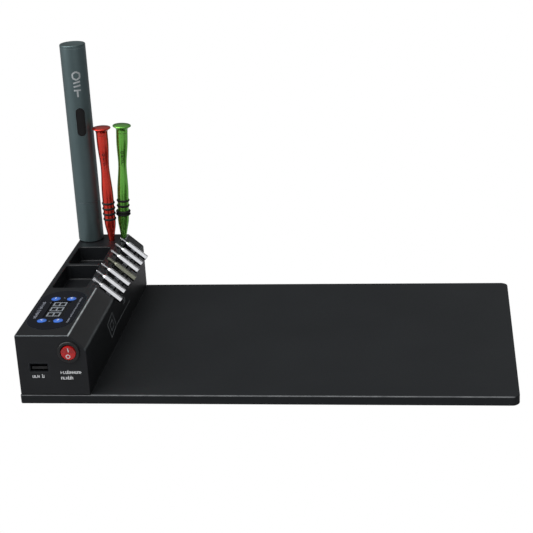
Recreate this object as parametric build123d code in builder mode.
from build123d import *
import os
from math import asin, atan2, cos, hypot, radians, sin

# A bench station: a flat hot plate with a long control box along its left edge. The box holds a
# heat controller, a USB outlet, a mains switch, two parts trays, a rack of driver bits, an
# electric screwdriver and two hand screwdrivers.
# Sizes are in millimetres. X runs along the plate, Y from the front edge to the back, and Z up
# from the table. The origin is on the table, under the middle of the plate.

os.makedirs("parts", exist_ok=True)

# ---------------------------------------------------------------- driving dimensions

# hot plate
plate_length = 350.0
plate_depth = 210.0
plate_height = 7.0
plate_corner = 5.5
plate_box_corner = 1.2
plate_bottom_round = 0.9
plate_edge_round = 0.7
plate_sheet = 3.0
cover_sheet = 1.0
cover_margin = 3.0
ledge_width = 3.0
foot_height = 1.2
foot_radius = 6.0
foot_inset = 18.0
foot_inset_y = 28.0
mat_thickness = 1.5
mat_gap = 12.0
boss_inset = 10.5
boss_radius = 3.5
screw_play = 0.05
hole_play = 0.1
seat_depth = 0.3
seat_margin = 0.3

# control box
box_inset = 0.5
box_width = 50.5
box_height = 45.6
box_wall = 2.0
box_round = 0.8
eave_round = 2.0
chamfer_width = 11.76
chamfer_drop = 10.43
gasket_height = 0.8
gasket_width = 3.0
gasket_inset = 1.0
box_boss = (12.0, 8.0, 12.0)
box_boss_y = 78.0
wire_hole_size = (16.0, 13.5, 2.0)

# parts trays, in the box's top
tray_width = 26.5
tray_margin = 4.0
tray_depth = 12.0
tray_corner = 3.0
tray_floor_round = 1.0
tray_spans = {"front": (-14.5, 32.5), "back": (36.5, 73.5)}

# bit rack, in the chamfer
rack_front = -15.5
rack_back = 92.0
rack_left = -140.5
rack_bottom = 38.5
trough_width = 12.2
trough_shift = -0.5
trough_depth = 5.5
trough_end = 3.0
bit_count = 7
bit_pitch = 15.6
first_bit_y = -6.5
bit_flats = 4.0
bit_body = 19.3
bit_shank = 7.9
bit_butt = 12.8
bit_play = 0.2
magnet_width = 4.0
magnet_height = 3.0
magnet_shift = 2.6

# panel, on the box's top near the front
panel_x = -155.2
panel_y = -57.7
panel_width = 34.0
panel_length = 72.5
panel_recess = 0.6
panel_sheet = 0.8
display_width = 14.0
display_length = 30.0
display_height = 7.0
display_sunk = 0.3
digit_pitch = 9.5
digit_height = 9.8
digit_width = 7.2
segment_width = 1.05
segment_gap = 0.1
digits_middle = (-155.8, -56.5)
segment_height = 0.15
key_radius = 3.45
key_columns = (-161.2, -149.3)
key_rows = {"front": -78.5, "back": -37.7}
key_proud = 1.0
key_dome = 0.65
board_sheet = 1.6
control_board_width = 27.0
push_switch = (6.0, 3.0)
push_button = (1.7, 0.4)
chip_size = (7.0, 1.2)
running_gap = 0.3

# power board, in the box
power_board_top = 26.0
power_board_back = 56.0
relay_place = (-149.0, -58.0)
relay_size = (15.5, 19.0, 15.0)
transformer_place = (-145.0, -8.0)
winding_size = (20.0, 22.0, 8.5)
core_size = (14.0, 26.0, 12.0)
capacitor_places = ((-163.5, 8.0), (-163.5, 20.0), (-161.0, -40.0))
capacitor_radius = 5.0
capacitor_height = 12.0
terminal_size = (17.0, 9.0, 10.0)
terminal_hole = 1.4

# outlet, switch and inlet, in the box's end walls
usb_x = -159.1
usb_width = 13.9
usb_height = 6.6
usb_depth = 14.0
usb_wall = 0.7
usb_block = 3.0
usb_tongue_drop = 0.9
usb_tongue_size = (11.1, 1.9)
switch_x = -136.5
switch_z = 41.4
switch_bezel = 8.0
switch_barrel = 7.1
switch_bore = 6.0
rocker_radius = 5.25
rocker_swing = 20.0
rocker_pin_gap = 0.5
inlet_x = -150.0
inlet_z = 17.5
inlet_pin_pitch = 8.6
inlet_pin_radius = 1.2
inlet_flange_size = (24.0, 13.5, 4.0)
inlet_body_size = (20.2, 10.2, 2.9)
inlet_opening_size = (20.4, 10.4, 3.0)
inlet_cavity_size = (16.4, 8.0)

# electric screwdriver, standing in its well
pen_x = -164.8
pen_y = 94.2
pen_radius = 10.2
pen_nose_radius = 6.2
pen_stand = 0.3
pen_wall = 1.2
pen_sunk = 25.0
pen_height = 163.0
pen_joint = 34.0
pen_key_height = 101.6
pen_key_length = 22.4
pen_key_width = 6.6
pen_key_turn = 19.5
pen_well_wall = 2.0
well_wall = 1.6

# hand screwdrivers: place on the box's top, and lean towards +X in degrees
red_driver = (-146.7, 89.5, 0.0)
green_driver = (-138.2, 96.5, 4.0)
driver_height = 96.5
driver_sunk = 24.4
cap_radius = 7.3
cap_height = 7.0
cap_neck = 4.65
cap_flare = 3.2
cap_rim = 1.0
cap_dome = 0.8
blade_radius = 1.5
ring_radius = 5.3
thick_ring_radius = 6.0
ring_section = 0.95

# fasteners: shank radius, head radius, head height
small_screw = (0.95, 2.0, 1.3)
large_screw = (1.45, 2.8, 1.7)
cover_screw = (1.25, 2.75, 0.8)

# ---------------------------------------------------------------- places worked out from them

plate_bottom = foot_height
plate_top = plate_bottom + plate_height
sheet_bottom = plate_top - plate_sheet
cover_top = plate_bottom + cover_sheet
box_left = -plate_length / 2 + box_inset
box_right = box_left + box_width
box_front = -plate_depth / 2 + box_inset
box_back = -box_front
box_depth = box_back - box_front
box_mid_x = (box_left + box_right) / 2
seat_right = box_right + seat_margin
seat_width = seat_right + plate_length / 2
box_bottom = plate_top + gasket_height
box_top = plate_top + box_height
ridge_x = box_right - chamfer_width
eave_z = box_top - chamfer_drop
inner_left = box_left + box_wall
inner_right = box_right - box_wall
ceiling = box_top - box_wall
tray_left = box_left + tray_margin
tray_mid_x = tray_left + tray_width / 2
tray_floor = box_top - tray_depth
mat_left = box_right + mat_gap
mat_right = plate_length / 2 - boss_inset - 5.0
mat_half_depth = plate_depth / 2 - 2 * boss_inset + 2.0
wire_radius = 0.75
wire_z = sheet_bottom - wire_radius
wire_rows = (58.5, 61.5, 65.0, 68.0)
wire_columns = (-144.0, -148.0, -152.0, -156.0)
terminal_z = power_board_top + 5.0
control_board_top = ceiling - 5.4
key_stem_bottom = ceiling - 0.8
key_crown = box_top + key_proud - key_stem_bottom
display_top = box_top - display_sunk

slope = atan2(chamfer_drop, chamfer_width)
downhill = (cos(slope), 0, -sin(slope))
uphill = (-cos(slope), 0, sin(slope))
slope_normal = (sin(slope), 0, cos(slope))
rack_mid_y = (rack_front + rack_back) / 2
chamfer_middle = ((ridge_x + box_right) / 2, 0, (box_top + eave_z) / 2)
chamfer_plane = Plane(origin=chamfer_middle, x_dir=downhill, z_dir=slope_normal)
chamfer_length = hypot(chamfer_width, chamfer_drop)

front_face = Plane.XZ.offset(-box_front)
pen_bottom = box_top - pen_sunk
pen_top = box_top + pen_height
pen_split = box_top + pen_joint
pen_key_z = box_top + pen_key_height
pen_bore = pen_radius - pen_wall


def write_piece(piece, name):
    """Label a finished piece and write it as its own STEP file."""
    piece.part.label = name
    export_step(piece.part, f"parts/{name}.step")


def level(height):
    """Give the horizontal plane at this height."""
    return Plane.XY.offset(height)


def cross_plane(y):
    """Give the upright plane across the box at this depth, facing the front."""
    return Plane.XZ.offset(-y)


def dome_middle(rim_radius, rise):
    """Give the radius and the drop, half way from crown to rim, of a dome that is part of a ball."""
    ball_radius = (rim_radius**2 + rise**2) / (2 * rise)
    half_angle = asin(rim_radius / ball_radius) / 2
    return ball_radius * sin(half_angle), ball_radius * (1 - cos(half_angle))


# ---------------------------------------------------------------- hot plate

plate_screw_spots = [
    (x, y)
    for x in (-plate_length / 2 + boss_inset, 0, plate_length / 2 - boss_inset)
    for y in (-plate_depth / 2 + boss_inset, plate_depth / 2 - boss_inset)
]
box_screw_spots = [(x, y) for x in (inner_left + 7.5, inner_right - 7.5) for y in (-box_boss_y, box_boss_y)]
box_boss_spots = [(x, y) for x in (inner_left + box_boss[0] / 2, inner_right - box_boss[0] / 2)
                  for y in (-box_boss_y, box_boss_y)]
wire_hole = ((wire_columns[0] + wire_columns[-1]) / 2, (wire_rows[0] + wire_rows[-1]) / 2)

with BuildPart() as work_plate:
    with BuildSketch(level(plate_bottom)) as outline:
        Rectangle(plate_length, plate_depth)
        fillet(outline.vertices().group_by(Axis.X)[0], plate_box_corner)
        fillet(outline.vertices().group_by(Axis.X)[-1], plate_corner)
    extrude(amount=plate_height)
    fillet(work_plate.faces().sort_by(Axis.Z)[0].edges(), plate_bottom_round)
    fillet(work_plate.faces().sort_by(Axis.Z)[-1].edges(), plate_edge_round)
    with BuildSketch(level(plate_bottom)):
        RectangleRounded(plate_length - 2 * cover_margin, plate_depth - 2 * cover_margin, plate_corner)
    extrude(amount=cover_sheet, mode=Mode.SUBTRACT)
    with BuildSketch(level(cover_top)):
        margin = cover_margin + ledge_width
        RectangleRounded(plate_length - 2 * margin, plate_depth - 2 * margin, plate_corner)
    extrude(amount=sheet_bottom - cover_top, mode=Mode.SUBTRACT)
    with BuildSketch(level(cover_top)):
        with Locations(*plate_screw_spots):
            Circle(boss_radius)
    extrude(amount=sheet_bottom - cover_top)
    with BuildSketch(level(cover_top)):
        with Locations(*plate_screw_spots):
            Circle(cover_screw[0] + screw_play)
    extrude(amount=sheet_bottom - cover_top, mode=Mode.SUBTRACT)
    with BuildSketch(level(sheet_bottom)):
        with Locations(*box_screw_spots):
            Circle(large_screw[0] + 0.15)
        with Locations(wire_hole):
            RectangleRounded(*wire_hole_size)
    extrude(amount=plate_sheet, mode=Mode.SUBTRACT)
    # a shallow seat for the box keeps the work surface a plain rectangle
    with BuildSketch(level(plate_top - seat_depth)):
        with Locations((seat_right - seat_width / 2, 0)):
            Rectangle(seat_width, plate_depth)
    extrude(amount=seat_depth, mode=Mode.SUBTRACT)
write_piece(work_plate, "work_plate")

with BuildPart() as base_cover:
    with BuildSketch(level(plate_bottom)):
        margin = cover_margin + 0.15
        RectangleRounded(plate_length - 2 * margin, plate_depth - 2 * margin, plate_corner - 0.15)
        with Locations(*plate_screw_spots):
            Circle(cover_screw[0] + hole_play, mode=Mode.SUBTRACT)
    extrude(amount=cover_sheet)
write_piece(base_cover, "base_cover")

with BuildPart() as rubber_feet:
    with BuildSketch(Plane.XY):
        with GridLocations(plate_length - 2 * foot_inset, plate_depth - 2 * foot_inset_y, 2, 2):
            Circle(foot_radius)
    extrude(amount=foot_height)
    fillet(rubber_feet.edges().group_by(Axis.Z)[0], 0.3)
write_piece(rubber_feet, "rubber_feet")


def draw_mat(notches):
    """Draw the heated area less a notch in its left edge for each sensor."""
    with Locations(((mat_left + mat_right) / 2, 0)):
        Rectangle(mat_right - mat_left, 2 * mat_half_depth)
    for notch_front, notch_back, reach in notches:
        with Locations((mat_left + reach / 2, (notch_front + notch_back) / 2)):
            Rectangle(reach, notch_back - notch_front, mode=Mode.SUBTRACT)


# notches: front, back and reach; sensors: length, depth and height
thermistor_notch = (63.4, 69.6, 9.0)
cutout_notch = (39.0, 47.0, 13.0)
thermistor_size = (7.0, 5.0, 2.0)
thermistor_corner = 1.2
cutout_size = (10.0, 6.0, 2.6)
cutout_corner = 0.8

with BuildPart() as heater_mat:
    with BuildSketch(level(sheet_bottom - mat_thickness)):
        draw_mat([thermistor_notch, cutout_notch])
    extrude(amount=mat_thickness)
write_piece(heater_mat, "heater_mat")

with BuildPart() as insulation_sheet:
    with BuildSketch(level(cover_top)):
        draw_mat([thermistor_notch, cutout_notch])
    extrude(amount=sheet_bottom - mat_thickness - cover_top)
write_piece(insulation_sheet, "insulation_sheet")

with BuildPart() as thermistor:
    with BuildSketch(level(sheet_bottom - thermistor_size[2])):
        with Locations((mat_left + thermistor_size[0] / 2 + 1.0, (thermistor_notch[0] + thermistor_notch[1]) / 2)):
            RectangleRounded(*thermistor_size[:2], thermistor_corner)
    extrude(amount=thermistor_size[2])
write_piece(thermistor, "thermistor")

with BuildPart() as thermal_cutout:
    with BuildSketch(level(sheet_bottom - cutout_size[2])):
        with Locations((mat_left + cutout_size[0] / 2 + 1.5, (cutout_notch[0] + cutout_notch[1]) / 2)):
            RectangleRounded(*cutout_size[:2], cutout_corner)
    extrude(amount=cutout_size[2])
write_piece(thermal_cutout, "thermal_cutout")

# Two heater wires and two sensor wires cross under the box, rise through the plate and turn
# forward into the terminal block.
with BuildPart() as plate_leads:
    for number, (wire_y, wire_x) in enumerate(zip(wire_rows, wire_columns)):
        wire_start = mat_left if number < 2 else mat_left + 1.0
        with BuildLine() as wire_route:
            FilletPolyline(
                (wire_start, wire_y, wire_z),
                (wire_x, wire_y, wire_z),
                (wire_x, wire_y, terminal_z),
                (wire_x, power_board_back, terminal_z),
                radius=1.2,
            )
        with BuildSketch(Plane(origin=(wire_start, wire_y, wire_z), z_dir=(-1, 0, 0))):
            Circle(wire_radius)
        sweep(path=wire_route.wires()[0])
write_piece(plate_leads, "plate_leads")

# ---------------------------------------------------------------- control box


def draw_box_section():
    """Draw the box's end view: a rectangle with its right top edge cut off on a slope."""
    Polygon(
        (box_left, box_bottom),
        (box_right, box_bottom),
        (box_right, eave_z),
        (ridge_x, box_top),
        (box_left, box_top),
        align=None,
    )


def edges_along(piece, x, z):
    """Find a piece's lengthwise edges at this place in the box's end view."""
    return [
        edge
        for edge in piece.edges().filter_by(Axis.Y)
        if hypot(edge.center().X - x, edge.center().Z - z) < 0.1
    ]


def tool_planes(place):
    """Give the cross plane and the lengthwise plane of a tool that stands in the box's top."""
    tool_x, tool_y, lean = place
    along = (sin(radians(lean)), 0, cos(radians(lean)))
    across = (cos(radians(lean)), 0, -sin(radians(lean)))
    foot = (tool_x, tool_y, box_top)
    return Plane(origin=foot, x_dir=across, z_dir=along), Plane(origin=foot, x_dir=across, z_dir=(0, -1, 0))


power_boss_spots = [
    (x, y) for x in (inner_left + 2.5, inner_right - 2.5) for y in (-70.0, 35.0)
]
control_post_spots = [(x, y) for x in (-168.5, -147.0) for y in (-91.0, -24.5)]
key_spots = [(x, y) for y in key_rows.values() for x in key_columns]

with BuildPart() as control_box_shell:
    with BuildSketch(cross_plane(box_back)):
        draw_box_section()
    extrude(amount=box_depth)
    fillet(edges_along(control_box_shell, box_right, eave_z), eave_round)
    upper_edges = [
        edge
        for edge in control_box_shell.edges()
        if edge.center().Z > box_bottom + 0.1 and abs(edge.center().Y) > box_back - 0.1
    ]
    for edge_x in (ridge_x, box_left):
        upper_edges += edges_along(control_box_shell, edge_x, box_top)
    fillet(upper_edges, box_round)
    with BuildSketch(cross_plane(box_back - box_wall)):
        draw_box_section()
        offset(amount=-box_wall, kind=Kind.INTERSECTION)
        with Locations((box_mid_x, box_bottom + box_wall)):
            Rectangle(box_width - 2 * box_wall, 4 * box_wall)
    extrude(amount=box_depth - 2 * box_wall, mode=Mode.SUBTRACT)

    # one moulded block holds both trays
    tray_fronts = [span[0] for span in tray_spans.values()]
    tray_backs = [span[1] for span in tray_spans.values()]
    with BuildSketch(level(tray_floor - box_wall)):
        with Locations((tray_mid_x, (min(tray_fronts) + max(tray_backs)) / 2)):
            block_length = max(tray_backs) - min(tray_fronts) + 2 * box_wall
            Rectangle(tray_width + 2 * box_wall, block_length)
    extrude(amount=tray_depth)
    for tray_front, tray_back in tray_spans.values():
        with BuildSketch(level(tray_floor)):
            with Locations((tray_mid_x, (tray_front + tray_back) / 2)):
                RectangleRounded(tray_width, tray_back - tray_front, tray_corner)
        extrude(amount=tray_depth, mode=Mode.SUBTRACT)
    tray_floors = control_box_shell.faces().filter_by(Axis.Z).filter_by_position(
        Axis.Z, tray_floor - 0.01, tray_floor + 0.01
    )
    fillet(tray_floors.edges(), tray_floor_round)
    top_face = control_box_shell.faces().filter_by(Axis.Z).sort_by(Axis.Z)[-1]
    fillet([edge for wire in top_face.inner_wires() for edge in wire.edges()], box_round)

    # wells for the three tools, hung from the top
    with BuildSketch(level(pen_bottom - well_wall - running_gap)):
        with Locations((pen_x, pen_y)):
            Circle(pen_nose_radius + running_gap + pen_well_wall)
    extrude(amount=pen_sunk)
    for place in (red_driver, green_driver):
        cross = tool_planes(place)[0]
        with BuildSketch(cross.offset(-driver_sunk - 0.6 - well_wall)):
            Circle(blade_radius + 1.1 + well_wall)
        extrude(amount=driver_sunk + well_wall - 0.4)
    with BuildSketch(level(pen_bottom - running_gap)):
        with Locations((pen_x, pen_y)):
            Circle(pen_nose_radius + running_gap)
    extrude(amount=pen_sunk + 1.0, mode=Mode.SUBTRACT)
    for place in (red_driver, green_driver):
        cross = tool_planes(place)[0]
        with BuildSketch(cross.offset(-driver_sunk - 0.6)):
            Circle(blade_radius + 1.1)
        extrude(amount=driver_sunk + 1.6, mode=Mode.SUBTRACT)

    # panel recess, display window, key holes and the posts behind them
    with BuildSketch(level(box_top - panel_recess)):
        with Locations((panel_x, panel_y)):
            SlotOverall(panel_length, panel_width, rotation=90)
    extrude(amount=1.0, mode=Mode.SUBTRACT)
    with BuildSketch(level(ceiling - 1.0)):
        with Locations((panel_x, panel_y)):
            Rectangle(display_width + 0.6, display_length + 0.6)
        with Locations(*key_spots):
            Circle(key_radius + running_gap)
    extrude(amount=box_wall + 1.0, mode=Mode.SUBTRACT)
    with BuildSketch(level(control_board_top)):
        with Locations(*control_post_spots):
            Circle(2.2)
    extrude(amount=ceiling - control_board_top)
    with BuildSketch(level(control_board_top)):
        with Locations(*control_post_spots):
            Circle(small_screw[0] + screw_play)
    extrude(amount=ceiling - control_board_top, mode=Mode.SUBTRACT)

    # bosses for the power board and for the screws that come up through the plate
    with BuildSketch(level(power_board_top)):
        with Locations(*power_boss_spots):
            Rectangle(5.0, 7.0)
    extrude(amount=8.0)
    with BuildSketch(level(power_board_top)):
        with Locations(*power_boss_spots):
            Circle(small_screw[0] + screw_play)
    extrude(amount=5.0, mode=Mode.SUBTRACT)
    with BuildSketch(level(box_bottom)):
        with Locations(*box_boss_spots):
            Rectangle(box_boss[0], box_boss[1])
    extrude(amount=box_boss[2])
    with BuildSketch(level(box_bottom)):
        with Locations(*box_screw_spots):
            Circle(large_screw[0] + screw_play)
    extrude(amount=box_boss[2] - 2.0, mode=Mode.SUBTRACT)

    # openings: bit rack, USB outlet, switch and mains inlet
    with BuildSketch(level(rack_bottom)):
        with Locations(((rack_left + box_right + 5.0) / 2, rack_mid_y)):
            Rectangle(box_right + 5.0 - rack_left, rack_back - rack_front)
    extrude(amount=box_top - rack_bottom + 1.0, mode=Mode.SUBTRACT)
    with BuildSketch(front_face):
        with Locations((usb_x, power_board_top + usb_height / 2)):
            RectangleRounded(usb_width + 0.3, usb_height + 0.3, 0.5)
        with Locations((switch_x, switch_z)):
            Circle(switch_barrel + 0.1)
    extrude(amount=-box_wall, mode=Mode.SUBTRACT)
    with BuildSketch(cross_plane(box_back)):
        with Locations((inlet_x, inlet_z)):
            RectangleRounded(*inlet_opening_size)
    extrude(amount=box_wall, mode=Mode.SUBTRACT)
write_piece(control_box_shell, "control_box_shell")

with BuildPart() as box_gasket:
    with BuildSketch(level(plate_top - seat_depth)):
        with Locations((box_mid_x, 0)):
            Rectangle(box_width - 2 * gasket_inset, box_depth - 2 * gasket_inset)
            inner_margin = 2 * (gasket_inset + gasket_width)
            Rectangle(box_width - inner_margin, box_depth - inner_margin, mode=Mode.SUBTRACT)
    extrude(amount=seat_depth + gasket_height)
write_piece(box_gasket, "box_gasket")


def make_screws(name, screw, shank_length, seats):
    """Make upright screws, each group with its heads under a seat at its own height."""
    shank_radius, head_radius, head_height = screw
    with BuildPart() as screws:
        for seat, spots in seats.items():
            with BuildSketch(level(seat - head_height)):
                with Locations(*spots):
                    Circle(head_radius)
            extrude(amount=head_height)
            with BuildSketch(level(seat)):
                with Locations(*spots):
                    Circle(shank_radius)
            extrude(amount=shank_length)
            with BuildSketch(level(seat - head_height)):
                with Locations(*spots):
                    Rectangle(1.3 * head_radius, 0.2 * head_radius)
                    Rectangle(0.2 * head_radius, 1.3 * head_radius)
            extrude(amount=0.6 * head_height, mode=Mode.SUBTRACT)
    write_piece(screws, name)


make_screws("cover_screws", cover_screw, sheet_bottom - plate_bottom - 0.5, {plate_bottom: plate_screw_spots})
make_screws("box_screws", large_screw, 12.0, {sheet_bottom: box_screw_spots})
board_seats = {
    power_board_top - board_sheet: power_boss_spots,
    control_board_top - board_sheet: control_post_spots,
}
make_screws("board_screws", small_screw, board_sheet + 4.5, board_seats)

# ---------------------------------------------------------------- bit rack and bits

with BuildPart() as bit_rack:
    with BuildSketch(cross_plane(rack_back)):
        Polygon(
            (rack_left, rack_bottom),
            (box_right, rack_bottom),
            (box_right, eave_z),
            (ridge_x, box_top),
            (rack_left, box_top),
            align=None,
        )
    extrude(amount=rack_back - rack_front)
    fillet(edges_along(bit_rack, box_right, eave_z), eave_round)
    fillet(edges_along(bit_rack, ridge_x, box_top), box_round)
    with BuildSketch(chamfer_plane):
        with Locations((trough_shift, rack_mid_y)):
            RectangleRounded(trough_width, rack_back - rack_front - 2 * trough_end, 1.0)
    extrude(amount=-trough_depth, mode=Mode.SUBTRACT)
    with BuildSketch(chamfer_plane.offset(-bit_flats / 2 - bit_play)):
        for number in range(bit_count):
            with Locations((0, first_bit_y + number * bit_pitch)):
                Rectangle(3 * chamfer_length, 1.1547 * bit_flats + 2 * bit_play)
    extrude(amount=chamfer_length, mode=Mode.SUBTRACT)
write_piece(bit_rack, "bit_rack")

with BuildPart() as rack_magnet:
    with BuildSketch(chamfer_plane.offset(-trough_depth)):
        with Locations((magnet_shift, rack_mid_y)):
            Rectangle(magnet_width, rack_back - rack_front - 2 * trough_end - 2.0)
    extrude(amount=magnet_height)
write_piece(rack_magnet, "rack_magnet")

# Each bit: its kind, the radius of its shank's end, the number of grooves round its tip, and how
# far it lies down the slope from the common line.
bit_kinds = [
    ("large_cross", 1.5, 4, 0.6),
    ("fine_star", 0.55, 6, -0.3),
    ("fine_cross", 0.6, 4, 0.2),
    ("flat", 1.3, 2, 2.2),
    ("cross", 0.8, 4, 1.1),
    ("triangle", 0.95, 3, 1.3),
    ("pentagon", 0.5, 5, 2.3),
]
tip_length = 2.2

for number, (kind, tip_radius, grooves, slide) in enumerate(bit_kinds):
    bit_y = first_bit_y + number * bit_pitch
    bit_line = Axis(chamfer_middle, uphill)
    butt = tuple(chamfer_middle[i] + (bit_butt + slide) * downhill[i] for i in range(3))
    bit_cross = Plane(origin=(butt[0], bit_y, butt[2]), x_dir=(0, 1, 0), z_dir=uphill)
    bit_side = Plane(origin=(butt[0], bit_y, butt[2]), x_dir=uphill, z_dir=(0, -1, 0))
    shank_radius = 0.55 * tip_radius + 0.6
    bit_end = bit_body + bit_shank
    with BuildPart() as bit:
        with BuildSketch(bit_cross):
            RegularPolygon(bit_flats / 2, 6, major_radius=False)
        extrude(amount=bit_body)
        chamfer(bit.faces().sort_by(bit_line)[0].edges(), 0.3)
        with BuildSketch(bit_side):
            with BuildLine():
                Polyline(
                    (bit_body, 0),
                    (bit_body, 1.9),
                    (bit_body + 1.4, shank_radius),
                    (bit_end - tip_length, shank_radius),
                    (bit_end - 0.3, tip_radius),
                    (bit_end, 0.6 * tip_radius),
                    (bit_end, 0),
                    close=True,
                )
            make_face()
        revolve(axis=Axis(bit_side.origin, uphill))
        with BuildSketch(bit_cross.offset(bit_end - tip_length)):
            groove_radius = (0.75 if grooves < 3 else 0.42) * shank_radius
            with PolarLocations(1.35 * groove_radius + 0.45 * shank_radius, grooves, start_angle=90):
                Circle(groove_radius)
        extrude(amount=tip_length + 1.0, mode=Mode.SUBTRACT)
    write_piece(bit, f"bit_{number + 1}_{kind}")

# ---------------------------------------------------------------- panel, display and keys

with BuildPart() as panel_overlay:
    with BuildSketch(level(box_top - panel_recess)):
        with Locations((panel_x, panel_y)):
            SlotOverall(panel_length - 0.2, panel_width - 0.2, rotation=90)
            Rectangle(display_width + 0.6, display_length + 0.6, mode=Mode.SUBTRACT)
        with Locations(*key_spots):
            Circle(key_radius + running_gap, mode=Mode.SUBTRACT)
    extrude(amount=panel_sheet)
write_piece(panel_overlay, "panel_overlay")

with BuildPart() as display_module:
    with BuildSketch(level(display_top - display_height)):
        with Locations((panel_x, panel_y)):
            Rectangle(display_width, display_length)
    extrude(amount=display_height)
    fillet(display_module.edges().group_by(Axis.Z)[-1], 0.2)
write_piece(display_module, "display_module")


def draw_digit(middle_y):
    """Draw seven bars in the shape of an eight that is read from the plate's side."""
    column_gap = digit_height / 2 - segment_width / 2
    row_gap = digit_width - segment_width
    with Locations((digits_middle[0], middle_y)):
        with GridLocations(column_gap, row_gap, 2, 2):
            Rectangle(column_gap - segment_width - 2 * segment_gap, segment_width)
        with GridLocations(column_gap, row_gap, 3, 1):
            Rectangle(segment_width, digit_width)


with BuildPart() as display_segments:
    with BuildSketch(level(display_top)):
        for step in (-1, 0, 1):
            draw_digit(digits_middle[1] + step * digit_pitch)
    extrude(amount=segment_height)
write_piece(display_segments, "display_segments")

with BuildPart() as control_board:
    with BuildSketch(level(control_board_top - board_sheet)):
        with Locations((panel_x - 2.5, panel_y)):
            Rectangle(control_board_width, panel_length + 1.0)
        with Locations(*control_post_spots):
            Circle(small_screw[0] + hole_play, mode=Mode.SUBTRACT)
    extrude(amount=board_sheet)
write_piece(control_board, "control_board")

with BuildPart() as tact_switches:
    with BuildSketch(level(control_board_top)):
        with Locations(*key_spots):
            RectangleRounded(push_switch[0], push_switch[0], 0.5)
    extrude(amount=push_switch[1])
    with BuildSketch(level(control_board_top + push_switch[1])):
        with Locations(*key_spots):
            Circle(push_button[0])
    extrude(amount=push_button[1])
write_piece(tact_switches, "tact_switches")

with BuildPart() as control_chip:
    with BuildSketch(level(control_board_top - board_sheet - chip_size[1])):
        with Locations((panel_x - 2.0, panel_y)):
            Rectangle(chip_size[0], chip_size[0])
    extrude(amount=chip_size[1])
write_piece(control_chip, "control_chip")

for row, key_y in key_rows.items():
    for side, key_x in zip(("left", "right"), key_columns):
        with BuildPart() as key:
            with BuildSketch(level(key_stem_bottom)):
                with Locations((key_x, key_y)):
                    Circle(key_radius + 0.7)
            extrude(amount=0.6)
            key_foot = (key_x, key_y, key_stem_bottom)
            with BuildSketch(Plane(origin=key_foot, x_dir=(1, 0, 0), z_dir=(0, -1, 0))):
                with BuildLine():
                    rim = (key_radius, key_crown - key_dome)
                    Polyline((0, key_crown), (0, 0), (key_radius, 0), rim)
                    middle, drop = dome_middle(key_radius, key_dome)
                    ThreePointArc(rim, (middle, key_crown - drop), (0, key_crown))
                make_face()
            revolve(axis=Axis((key_x, key_y, 0), (0, 0, 1)))
        write_piece(key, f"panel_key_{row}_{side}")

# ---------------------------------------------------------------- power board

board_left = inner_left + 0.4
board_right = inner_right - 0.4
board_front = box_front + box_wall + 0.4

with BuildPart() as power_board:
    with BuildSketch(level(power_board_top - board_sheet)):
        with Locations(((board_left + board_right) / 2, (board_front + power_board_back) / 2)):
            Rectangle(board_right - board_left, power_board_back - board_front)
        with Locations(*power_boss_spots):
            Circle(small_screw[0] + hole_play, mode=Mode.SUBTRACT)
    extrude(amount=board_sheet)
write_piece(power_board, "power_board")

with BuildPart() as relay:
    with BuildSketch(level(power_board_top)):
        with Locations(relay_place):
            Rectangle(*relay_size[:2])
    extrude(amount=relay_size[2])
    chamfer(relay.edges().group_by(Axis.Z)[-1], 0.6)
write_piece(relay, "relay")

with BuildPart() as transformer:
    with BuildSketch(level(power_board_top + 2.0)):
        with Locations(transformer_place):
            Rectangle(*winding_size[:2])
    extrude(amount=winding_size[2])
    with BuildSketch(level(power_board_top)):
        with Locations(transformer_place):
            Rectangle(*core_size[:2])
    extrude(amount=core_size[2])
write_piece(transformer, "transformer")

with BuildPart() as capacitors:
    with BuildSketch(level(power_board_top)):
        with Locations(*capacitor_places):
            Circle(capacitor_radius)
    extrude(amount=capacitor_height)
    fillet(capacitors.edges().group_by(Axis.Z)[-1], 0.5)
write_piece(capacitors, "capacitors")

with BuildPart() as terminal_block:
    block_mid_x = (wire_columns[0] + wire_columns[-1]) / 2
    with BuildSketch(level(power_board_top)):
        with Locations((block_mid_x, power_board_back - terminal_size[1] / 2)):
            Rectangle(*terminal_size[:2])
    extrude(amount=terminal_size[2])
    with BuildSketch(level(power_board_top + terminal_size[2])):
        for wire_x in wire_columns:
            with Locations((wire_x, power_board_back - terminal_size[1] / 2)):
                Circle(terminal_hole)
    extrude(amount=-2.0, mode=Mode.SUBTRACT)
write_piece(terminal_block, "terminal_block")

# ---------------------------------------------------------------- USB outlet

usb_front = box_front + 0.2
usb_z = power_board_top + usb_height / 2

with BuildPart() as usb_socket_shell:
    with BuildSketch(cross_plane(usb_front)):
        with Locations((usb_x, usb_z)):
            RectangleRounded(usb_width, usb_height, 0.6)
            Rectangle(usb_width - 2 * usb_wall, usb_height - 2 * usb_wall, mode=Mode.SUBTRACT)
    extrude(amount=-usb_depth)
write_piece(usb_socket_shell, "usb_socket_shell")

with BuildPart() as usb_socket_tongue:
    with BuildSketch(cross_plane(usb_front + usb_depth)):
        with Locations((usb_x, usb_z)):
            Rectangle(usb_width - 2 * usb_wall, usb_height - 2 * usb_wall)
    extrude(amount=usb_block)
    with BuildSketch(cross_plane(usb_front + usb_depth - usb_block)):
        with Locations((usb_x, usb_z - usb_tongue_drop)):
            Rectangle(*usb_tongue_size)
    extrude(amount=usb_depth - usb_block - 1.5)
write_piece(usb_socket_tongue, "usb_socket_tongue")

# ---------------------------------------------------------------- mains switch

bezel_front = box_front - 1.6
pivot_y = box_front + 0.9
barrel_back = box_front + 17.0
rest_tilt = radians(rocker_swing / 2)

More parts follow.
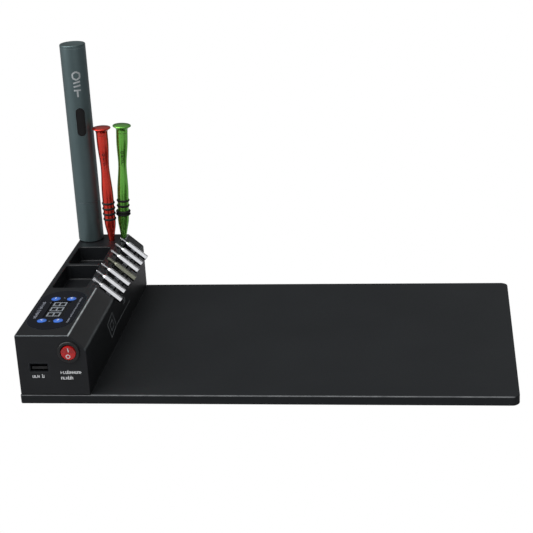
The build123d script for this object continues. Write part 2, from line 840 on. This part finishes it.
with BuildPart() as rocker_switch_body:
    with BuildSketch(cross_plane(bezel_front)):
        with Locations((switch_x, switch_z)):
            Circle(switch_bezel)
    extrude(amount=bezel_front - box_front)
    fillet(rocker_switch_body.faces().sort_by(Axis.Y)[0].edges(), 0.9)
    with BuildSketch(front_face):
        with Locations((switch_x, switch_z)):
            Circle(switch_barrel)
    extrude(amount=box_front - barrel_back)
    with BuildSketch(cross_plane(bezel_front)):
        with Locations((switch_x, switch_z)):
            Circle(switch_bore)
    extrude(amount=-8.0, mode=Mode.SUBTRACT)
    with BuildSketch(Plane.YZ.offset(switch_x)):
        with Locations((pivot_y, switch_z)):
            Circle(1.06)
    extrude(amount=switch_barrel + 0.05, both=True, mode=Mode.SUBTRACT)
write_piece(rocker_switch_body, "rocker_switch_body")

with BuildPart() as rocker_terminals:
    with BuildSketch(cross_plane(barrel_back)):
        with Locations((switch_x, switch_z - 3.6), (switch_x, switch_z + 3.6)):
            Rectangle(4.8, 0.8)
    extrude(amount=-7.5)
write_piece(rocker_terminals, "rocker_terminals")

# The rocker rests in the off state: its lower half is pressed in and its upper half stands out.
rocker_normal = (0, -cos(rest_tilt), -sin(rest_tilt))
rocker_plane = Plane(origin=(switch_x, pivot_y, switch_z), x_dir=(1, 0, 0), z_dir=rocker_normal)
rocker_side = Plane(origin=(switch_x, pivot_y, switch_z), x_dir=rocker_normal, z_dir=(1, 0, 0))
rocker_face = 3.0
rocker_dish = 0.7

with BuildPart() as rocker:
    with BuildSketch(rocker_plane.offset(-2.0)):
        Circle(rocker_radius)
    extrude(amount=2.0 + rocker_face)
    with BuildSketch(rocker_side):
        with BuildLine():
            Polyline(
                (rocker_face - rocker_dish, 0),
                (rocker_face, rocker_radius),
                (rocker_face + 1.0, rocker_radius),
                (rocker_face + 1.0, -rocker_radius),
                (rocker_face, -rocker_radius),
                close=True,
            )
        make_face()
    extrude(amount=rocker_radius, both=True, mode=Mode.SUBTRACT)
    with BuildSketch(Plane.YZ.offset(switch_x)):
        with Locations((pivot_y, switch_z)):
            Circle(1.0)
    extrude(amount=switch_barrel - rocker_pin_gap, both=True)
write_piece(rocker, "rocker")

# ---------------------------------------------------------------- mains inlet

inlet_flange = box_back + 1.7
inlet_inner = box_back - 18.0
pin_xs = (inlet_x - inlet_pin_pitch / 2, inlet_x + inlet_pin_pitch / 2)
cavity_depth = 12.0

with BuildPart() as power_inlet:
    with BuildSketch(cross_plane(inlet_flange)):
        with Locations((inlet_x, inlet_z)):
            RectangleRounded(*inlet_flange_size)
    extrude(amount=inlet_flange - box_back)
    fillet(power_inlet.faces().sort_by(Axis.Y)[-1].edges(), 0.5)
    with BuildSketch(cross_plane(box_back)):
        with Locations((inlet_x, inlet_z)):
            RectangleRounded(*inlet_body_size)
    extrude(amount=box_back - inlet_inner)
    with BuildSketch(cross_plane(inlet_flange)):
        with Locations((inlet_x, inlet_z)):
            SlotOverall(*inlet_cavity_size)
    extrude(amount=cavity_depth, mode=Mode.SUBTRACT)
    with BuildSketch(cross_plane(inlet_flange)):
        for pin_x in pin_xs:
            with Locations((pin_x, inlet_z)):
                Circle(inlet_pin_radius)
    extrude(amount=inlet_flange - inlet_inner, mode=Mode.SUBTRACT)
write_piece(power_inlet, "power_inlet")

with BuildPart() as inlet_pins:
    with BuildSketch(cross_plane(inlet_flange - 2.0)):
        for pin_x in pin_xs:
            with Locations((pin_x, inlet_z)):
                Circle(inlet_pin_radius)
    extrude(amount=inlet_flange - 2.0 - inlet_inner)
    fillet(inlet_pins.edges().group_by(Axis.Y)[-1], 0.5)
    with BuildSketch(cross_plane(inlet_inner)):
        for pin_x in pin_xs:
            with Locations((pin_x, inlet_z)):
                Rectangle(0.8, 3.2)
    extrude(amount=4.5)
write_piece(inlet_pins, "inlet_pins")

# ---------------------------------------------------------------- electric screwdriver

pen_axis = Axis((pen_x, pen_y, 0), (0, 0, 1))
pen_profile = Plane(origin=(pen_x, pen_y, 0), x_dir=(1, 0, 0), z_dir=(0, -1, 0))
spindle_radius = 3.0
nose_bottom = pen_bottom + 2.2
shoulder = box_top + pen_stand
nose_shelf = shoulder + 2.2
spigot_radius = pen_bore - 0.05
spigot_wall = 1.0

with BuildPart() as driver_front_sleeve:
    with BuildSketch(pen_profile):
        with BuildLine():
            Polyline(
                (spindle_radius + 0.08, nose_bottom),
                (4.6, nose_bottom),
                (pen_nose_radius, nose_bottom + 9.0),
                (pen_nose_radius, shoulder),
                (pen_radius - 0.6, shoulder),
                (pen_radius, shoulder + 0.6),
                (pen_radius, pen_split - 0.2),
                (spigot_radius, pen_split - 0.2),
                (spigot_radius, pen_split + 6.0),
                (spigot_radius - spigot_wall, pen_split + 6.0),
                (spigot_radius - spigot_wall, nose_shelf),
                (spindle_radius + 0.08, nose_shelf),
                close=True,
            )
        make_face()
    revolve(axis=pen_axis)
write_piece(driver_front_sleeve, "driver_front_sleeve")

key_direction = (sin(radians(pen_key_turn)), -cos(radians(pen_key_turn)), 0)
key_plane = Plane(origin=(pen_x, pen_y, pen_key_z), x_dir=(0, 0, 1), z_dir=key_direction)
cap_seat = pen_top - 2.6
cap_dish = 0.9

with BuildPart() as driver_barrel:
    with BuildSketch(level(pen_split)):
        with Locations((pen_x, pen_y)):
            Circle(pen_radius)
            Circle(pen_bore, mode=Mode.SUBTRACT)
    extrude(amount=cap_seat - pen_split)
    with BuildSketch(key_plane):
        SlotOverall(pen_key_length + 0.7, pen_key_width + 0.6)
    extrude(amount=pen_radius + 1.0, mode=Mode.SUBTRACT)
write_piece(driver_barrel, "driver_barrel")

with BuildPart() as driver_end_cap:
    with BuildSketch(pen_profile):
        with BuildLine():
            rim = pen_radius - 1.4
            Polyline(
                (0, pen_top - cap_dish),
                (0, cap_seat - 6.0),
                (spigot_radius, cap_seat - 6.0),
                (spigot_radius, cap_seat),
                (pen_radius, cap_seat),
                (pen_radius, pen_top - 0.8),
            )
            RadiusArc((pen_radius, pen_top - 0.8), (pen_radius - 0.8, pen_top), -0.8)
            Line((pen_radius - 0.8, pen_top), (rim, pen_top))
            middle, drop = dome_middle(rim, cap_dish)
            ThreePointArc((rim, pen_top), (middle, pen_top - cap_dish + drop), (0, pen_top - cap_dish))
        make_face()
    revolve(axis=pen_axis)
write_piece(driver_end_cap, "driver_end_cap")

gearbox_bottom = nose_shelf + 2.4
gearbox_radius, gearbox_length = 6.3, 15.0
motor_radius, motor_length = 6.0, 22.0
battery_radius, battery_length = 6.7, 43.0
gearbox_top = gearbox_bottom + gearbox_length
motor_top = gearbox_top + motor_length
battery_bottom = motor_top + 3.0
battery_top = battery_bottom + battery_length

with BuildPart() as driver_gearbox:
    with BuildSketch(level(gearbox_bottom)):
        with Locations((pen_x, pen_y)):
            Circle(gearbox_radius)
    extrude(amount=gearbox_top - gearbox_bottom)
write_piece(driver_gearbox, "driver_gearbox")

with BuildPart() as driver_motor:
    with BuildSketch(level(gearbox_top)):
        with Locations((pen_x, pen_y)):
            Circle(motor_radius)
    extrude(amount=motor_top - gearbox_top)
write_piece(driver_motor, "driver_motor")

with BuildPart() as driver_battery:
    with BuildSketch(level(battery_bottom)):
        with Locations((pen_x, pen_y)):
            Circle(battery_radius)
    extrude(amount=battery_top - battery_bottom)
    with BuildSketch(level(battery_top)):
        with Locations((pen_x, pen_y)):
            Circle(2.2)
    extrude(amount=0.8)
write_piece(driver_battery, "driver_battery")

# The button rocks forwards and backwards on its middle, so it clears the barrel all round.
with BuildPart() as driver_button:
    with BuildSketch(key_plane):
        SlotOverall(pen_key_length, pen_key_width)
    extrude(amount=pen_radius + 2.0)
    with BuildSketch(level(pen_key_z - pen_key_length)):
        with Locations((pen_x, pen_y)):
            Circle(pen_radius + 0.45)
    extrude(amount=2 * pen_key_length, mode=Mode.INTERSECT)
    with BuildSketch(level(pen_key_z - pen_key_length)):
        with Locations((pen_x, pen_y)):
            Circle(pen_bore - 0.4)
    extrude(amount=2 * pen_key_length, mode=Mode.SUBTRACT)
write_piece(driver_button, "driver_button")

with BuildPart() as driver_chuck:
    with BuildSketch(pen_profile):
        with BuildLine():
            Polyline(
                (0, pen_bottom),
                (2.6, pen_bottom),
                (spindle_radius, pen_bottom + 0.5),
                (spindle_radius, nose_shelf + running_gap),
                (4.4, nose_shelf + running_gap),
                (4.4, gearbox_bottom - running_gap),
                (0, gearbox_bottom - running_gap),
                close=True,
            )
        make_face()
    revolve(axis=pen_axis)
    with BuildSketch(level(pen_bottom)):
        with Locations((pen_x, pen_y)):
            RegularPolygon(bit_flats / 2 + 0.05, 6, major_radius=False)
    extrude(amount=11.0, mode=Mode.SUBTRACT)
write_piece(driver_chuck, "driver_chuck")

# ---------------------------------------------------------------- hand screwdrivers

handle_top = driver_height - cap_height
pivot_bottom = handle_top - 7.0
pivot_radius = 1.25
blade_top = 14.0
handle_bottom = -2.0
grip_radius = 4.6
grip_bottom = 17.0
grip_top = 38.5
waist_radius = 3.45
waist_height = 63.0
neck_height = 84.5

# height and outer radius of each grip ring
even_rings = [(height, ring_radius) for height in (32.4, 27.9, 23.4, 18.9)]
pushed_rings = even_rings[:2] + [(height, thick_ring_radius) for height in (23.0, 20.7)]


def make_hand_driver(color, place, rings):
    """Make one hand screwdriver: a handle, a cap that spins, a blade and four grip rings."""
    cross, lengthwise = tool_planes(place)
    tool_axis = Axis(cross.origin, cross.z_dir)

    with BuildPart() as handle:
        with BuildSketch(lengthwise):
            with BuildLine():
                Polyline((0, handle_top), (0, handle_bottom), (1.9, handle_bottom), (2.0, 0))
                Spline((2.0, 0), (3.5, 8.3), (grip_radius, grip_bottom), tangents=[(0.2, 1), (0, 1)])
                Line((grip_radius, grip_bottom), (grip_radius, grip_top))
                Spline(
                    (grip_radius, grip_top),
                    (waist_radius, waist_height),
                    (cap_neck, neck_height),
                    tangents=[(0, 1), (0, 1)],
                )
                Polyline((cap_neck, neck_height), (cap_neck, handle_top), (0, handle_top))
            make_face()
        revolve(axis=tool_axis)
        with BuildSketch(lengthwise):
            for height, outer_radius in rings:
                with Locations((outer_radius - ring_section, height)):
                    Circle(ring_section + 0.05)
        revolve(axis=tool_axis, mode=Mode.SUBTRACT)
        with BuildSketch(cross.offset(pivot_bottom)):
            Circle(pivot_radius + 0.08)
        extrude(amount=handle_top - pivot_bottom, mode=Mode.SUBTRACT)
        with BuildSketch(cross.offset(handle_bottom)):
            Circle(blade_radius)
        extrude(amount=blade_top - handle_bottom, mode=Mode.SUBTRACT)
    write_piece(handle, f"{color}_driver_handle")

    with BuildPart() as cap:
        with BuildSketch(lengthwise):
            with BuildLine():
                rim_bottom = driver_height - cap_dome - cap_rim
                rim_top = driver_height - cap_dome
                flare_start = (cap_neck, rim_bottom - cap_flare)
                pivot_end = pivot_bottom + 0.4
                Polyline(
                    (0, driver_height),
                    (0, pivot_end),
                    (pivot_radius, pivot_end),
                    (pivot_radius, handle_top + running_gap),
                    (cap_neck, handle_top + running_gap),
                    flare_start,
                )
                TangentArc(flare_start, (cap_radius - 0.1, rim_bottom), tangent=(0, 1))
                RadiusArc((cap_radius - 0.1, rim_bottom), (cap_radius - 0.4, rim_top), -0.6)
                middle, drop = dome_middle(cap_radius - 0.4, cap_dome)
                ThreePointArc((cap_radius - 0.4, rim_top), (middle, driver_height - drop), (0, driver_height))
            make_face()
        revolve(axis=tool_axis)
    write_piece(cap, f"{color}_driver_cap")

    with BuildPart() as blade:
        with BuildSketch(lengthwise):
            with BuildLine():
                Polyline(
                    (0, blade_top),
                    (0, -driver_sunk),
                    (0.5, -driver_sunk),
                    (blade_radius, -driver_sunk + 2.4),
                    (blade_radius, blade_top),
                    close=True,
                )
            make_face()
        revolve(axis=tool_axis)
        with BuildSketch(cross.offset(-driver_sunk)):
            with PolarLocations(1.45, 4, start_angle=45):
                Circle(0.8)
        extrude(amount=3.0, mode=Mode.SUBTRACT)
    write_piece(blade, f"{color}_driver_blade")

    with BuildPart() as grip_rings:
        with BuildSketch(lengthwise):
            for height, outer_radius in rings:
                with Locations((outer_radius - ring_section, height)):
                    Circle(ring_section)
        revolve(axis=tool_axis)
    write_piece(grip_rings, f"{color}_driver_grip_rings")


make_hand_driver("red", red_driver, even_rings)
make_hand_driver("green", green_driver, pushed_rings)
